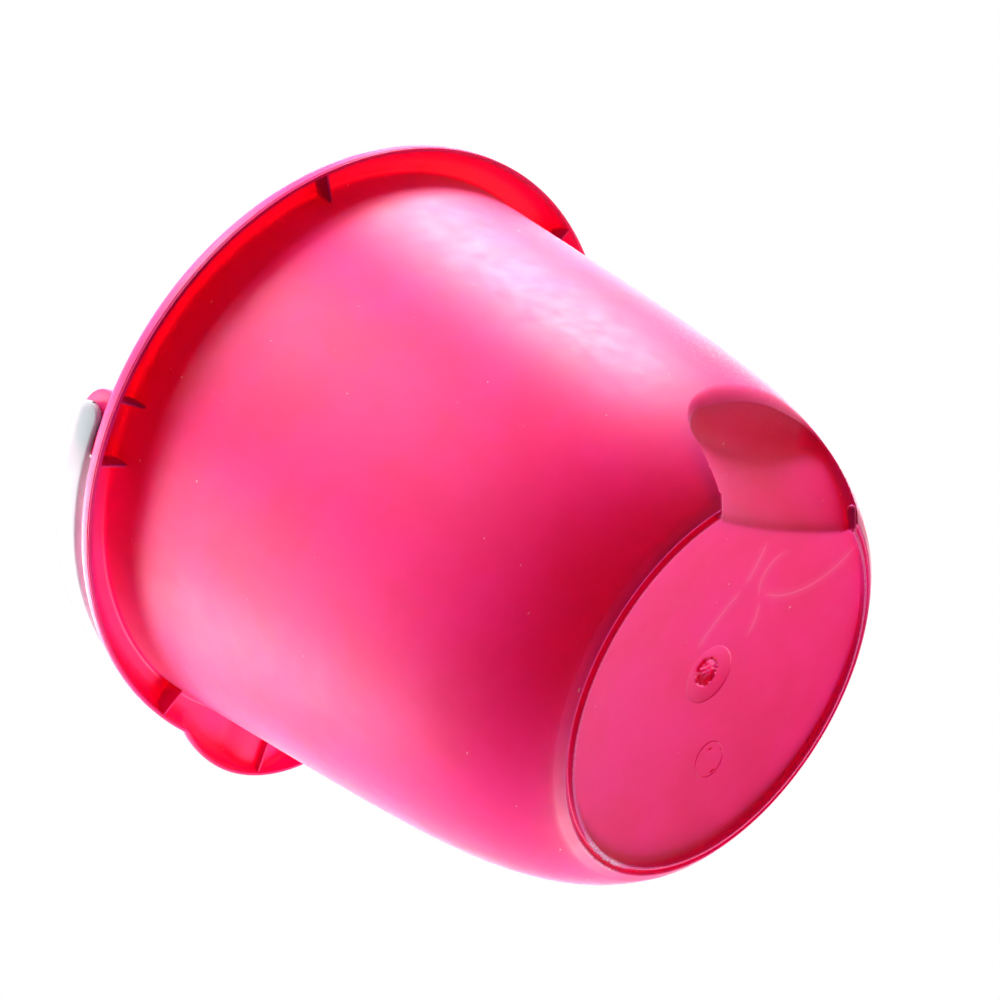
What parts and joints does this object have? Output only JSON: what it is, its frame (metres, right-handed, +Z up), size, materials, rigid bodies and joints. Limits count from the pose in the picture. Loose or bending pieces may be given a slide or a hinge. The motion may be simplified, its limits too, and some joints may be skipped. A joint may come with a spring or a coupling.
{
  "type": "sand bucket",
  "caption": "Round moulded sand bucket with a rolled rim, a pouring spout, a finger scoop cut into the base and a channel-section bail that swings on snap-in studs.",
  "frame": {"origin": "centre of the object's outline seen from above, on the surface that the bucket stands on; the bucket's own axis is the vertical through (0, 0.0047, 0)", "axes": "+Z up, +X and -X towards the ears and along the bail's hinge, -Y towards the pouring spout and the folded bail, +Y towards the finger scoop"},
  "size_m": [0.202, 0.2114, 0.1801],
  "materials": {
    "bucket_plastic": "satin moulded polypropylene, fine grain",
    "bail_plastic": "smooth moulded polypropylene"
  },
  "bodies": {
    "bucket": {"bucket": "bucket_plastic"},
    "bail": {"bail": "bail_plastic"}
  },
  "joints": [
    {"name": "bail_hinge", "type": "hinge", "parent": "bucket", "child": "bail", "pos_m": [0, 0.0047, 0.1676], "axis": [-1, 0, 0], "range_deg": [0, 171]}
  ]
}
